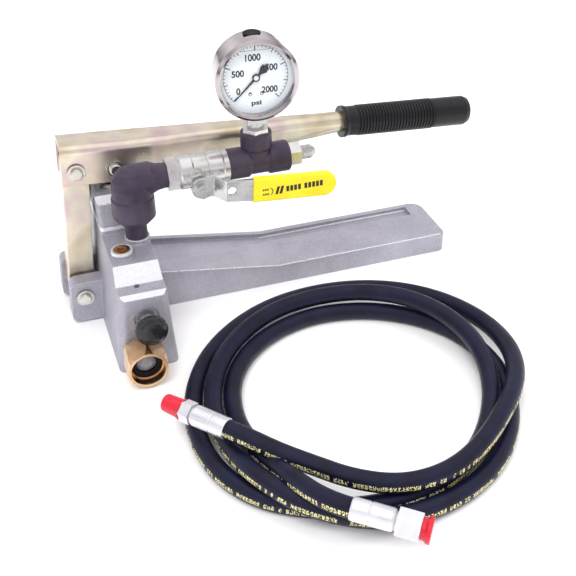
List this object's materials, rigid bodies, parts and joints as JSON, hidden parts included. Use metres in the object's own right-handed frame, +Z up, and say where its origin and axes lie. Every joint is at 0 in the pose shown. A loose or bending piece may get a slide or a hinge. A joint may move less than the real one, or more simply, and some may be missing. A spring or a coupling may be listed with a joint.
{
  "type": "hydraulic hand pump",
  "caption": "Lever-worked water test pump: cast base with foot, link-hung channel lever and plunger, ball valve, pressure gauge, garden-hose inlet and a coiled outlet hose.",
  "frame": {"origin": "on the floor under the plunger's axis", "axes": "+X along the lever and the foot, +Y away from the inlet side, +Z up"},
  "size_m": [0.3639, 0.389, 0.2339],
  "materials": {
    "cast_aluminium": "blasted casting with bright machined facets",
    "yellow_zinc": "yellow passivated zinc plate",
    "hard_chrome": "ground and hard chromed",
    "liner_steel": "honed",
    "bearing_steel": "polished ball",
    "spring_steel": "wound wire",
    "pin_steel": "zinc plated",
    "forged_steel": "dark forged and oiled",
    "nickel": "bright nickel plate",
    "stainless": "brushed stainless",
    "gauge_stainless": "polished stainless",
    "yellow_vinyl": "dipped vinyl",
    "ptfe": "plain",
    "black_vinyl": "ribbed",
    "seal_rubber": "plain",
    "black_plastic": "glossy",
    "brass": "machined",
    "steel_mesh": "woven mesh",
    "white_enamel": "printed dial",
    "black_enamel": "plain",
    "clear_glass": "clear",
    "hose_rubber": "smooth hose cover",
    "white_zinc": "bright zinc plate",
    "red_plastic": "moulded cap"
  },
  "bodies": {
    "pump_body": {"base_casting": "cast_aluminium", "cylinder_liner": "liner_steel", "inlet_check_seat": "liner_steel", "outlet_check_seat": "liner_steel", "inlet_check_spring": "spring_steel", "outlet_check_spring": "spring_steel", "inlet_spring_clip": "spring_steel", "lower_pin": "pin_steel", "lower_clip": "pin_steel", "street_elbow": "forged_steel", "tee": "forged_steel", "riser_nipple": "forged_steel", "valve_body": "nickel", "valve_end_cap": "nickel", "stem_packing_nut": "nickel", "close_nipple": "nickel", "gauge_bushing": "nickel", "outlet_adapter": "nickel", "gland_nut": "nickel", "release_gland": "nickel", "gauge_socket": "stainless", "gauge_case": "gauge_stainless", "gauge_bezel": "gauge_stainless", "valve_seats": "ptfe", "plunger_packing": "seal_rubber", "rod_wiper": "seal_rubber", "inlet_washer": "seal_rubber", "gauge_fill_plug": "seal_rubber", "inlet_tailpiece": "brass", "outlet_check_plug": "brass", "bourdon_tube": "brass", "gauge_movement": "brass", "inlet_screen": "steel_mesh", "gauge_dial": "white_enamel", "gauge_lens": "clear_glass", "hose_coil": "hose_rubber", "hose_ferrules": "white_zinc", "hose_inner_connector": "white_zinc", "hose_inner_cap": "red_plastic"},
    "link": {"link_channel": "yellow_zinc", "link_washers": "pin_steel"},
    "lever": {"lever_channel": "yellow_zinc", "lever_grip": "black_vinyl", "lever_pins": "pin_steel", "lever_clips": "pin_steel"},
    "plunger": {"plunger": "hard_chrome"},
    "valve_lever": {"valve_handle": "stainless", "handle_sleeve": "yellow_vinyl", "valve_stem": "stainless", "valve_ball": "stainless", "handle_nut": "stainless", "handle_washer": "stainless"},
    "gauge_needle": {"gauge_pointer": "black_enamel"},
    "inlet_ball": {"inlet_check_ball": "bearing_steel"},
    "outlet_ball": {"outlet_check_ball": "bearing_steel"},
    "release_spindle": {"release_stem": "liner_steel"},
    "release_knob": {"release_knob": "black_plastic"},
    "inlet_nut": {"inlet_swivel_nut": "brass"},
    "hose_nut": {"hose_swivel_nut": "white_zinc", "hose_outer_plug": "red_plastic"}
  },
  "joints": [
    {"name": "link_swing", "type": "hinge", "parent": "pump_body", "child": "link", "pos_m": [-0.0385, 0, 0.0245], "axis": [0, -1, 0], "range_deg": [-3.2, 0]},
    {"name": "lever_swing", "type": "hinge", "parent": "link", "child": "lever", "pos_m": [-0.03, 0, 0.1308], "axis": [0, -1, 0], "range_deg": [0, 46]},
    {"name": "plunger_stroke", "type": "slide", "parent": "pump_body", "child": "plunger", "axis": [0, 0, 1], "range_m": [0, 0.0207]},
    {"name": "valve_turn", "type": "hinge", "parent": "pump_body", "child": "valve_lever", "pos_m": [0.0545, -0.0435, 0.1313], "axis": [0, 1, 0], "range_deg": [0, 90]},
    {"name": "needle_turn", "type": "hinge", "parent": "pump_body", "child": "gauge_needle", "pos_m": [0.1063, -0.0435, 0.2025], "axis": [0.0872, 0.9962, 0], "range_deg": [0, 270], "stiffness_Nm_per_rad": 0.0004},
    {"name": "inlet_ball_lift", "type": "slide", "parent": "pump_body", "child": "inlet_ball", "axis": [0, 1, 0], "range_m": [0, 0.0015], "stiffness_N_per_m": 60, "springref_m": -0.0005, "deforming": ["inlet_check_spring"]},
    {"name": "outlet_ball_lift", "type": "slide", "parent": "pump_body", "child": "outlet_ball", "axis": [0, 0, 1], "range_m": [0, 0.0015], "stiffness_N_per_m": 60, "springref_m": -0.0005, "deforming": ["outlet_check_spring"]},
    {"name": "release_travel", "type": "slide", "parent": "pump_body", "child": "release_spindle", "axis": [0, -1, 0], "range_m": [0, 0.0019]},
    {"name": "release_turn", "type": "hinge", "parent": "release_spindle", "child": "release_knob", "pos_m": [-0.0015, -0.1145, 0.0466], "axis": [0, -1, 0], "range_deg": [0, 540]},
    {"name": "inlet_nut_spin", "type": "hinge", "parent": "pump_body", "child": "inlet_nut", "pos_m": [-0.0085, -0.116, 0.0181], "axis": [0, -1, 0], "continuous": true},
    {"name": "hose_nut_spin", "type": "hinge", "parent": "pump_body", "child": "hose_nut", "pos_m": [0.10947, -0.34104, 0.02721], "axis": [0.8003, -0.5952, -0.073], "continuous": true}
  ],
  "couplings": [
    {"joint": "link_swing", "follows": "lever_swing", "ratio": -0.068},
    {"joint": "plunger_stroke", "follows": "lever_swing", "m_per_rad": 0.0257},
    {"joint": "release_travel", "follows": "release_turn", "m_per_rad": 0.000199}
  ]
}
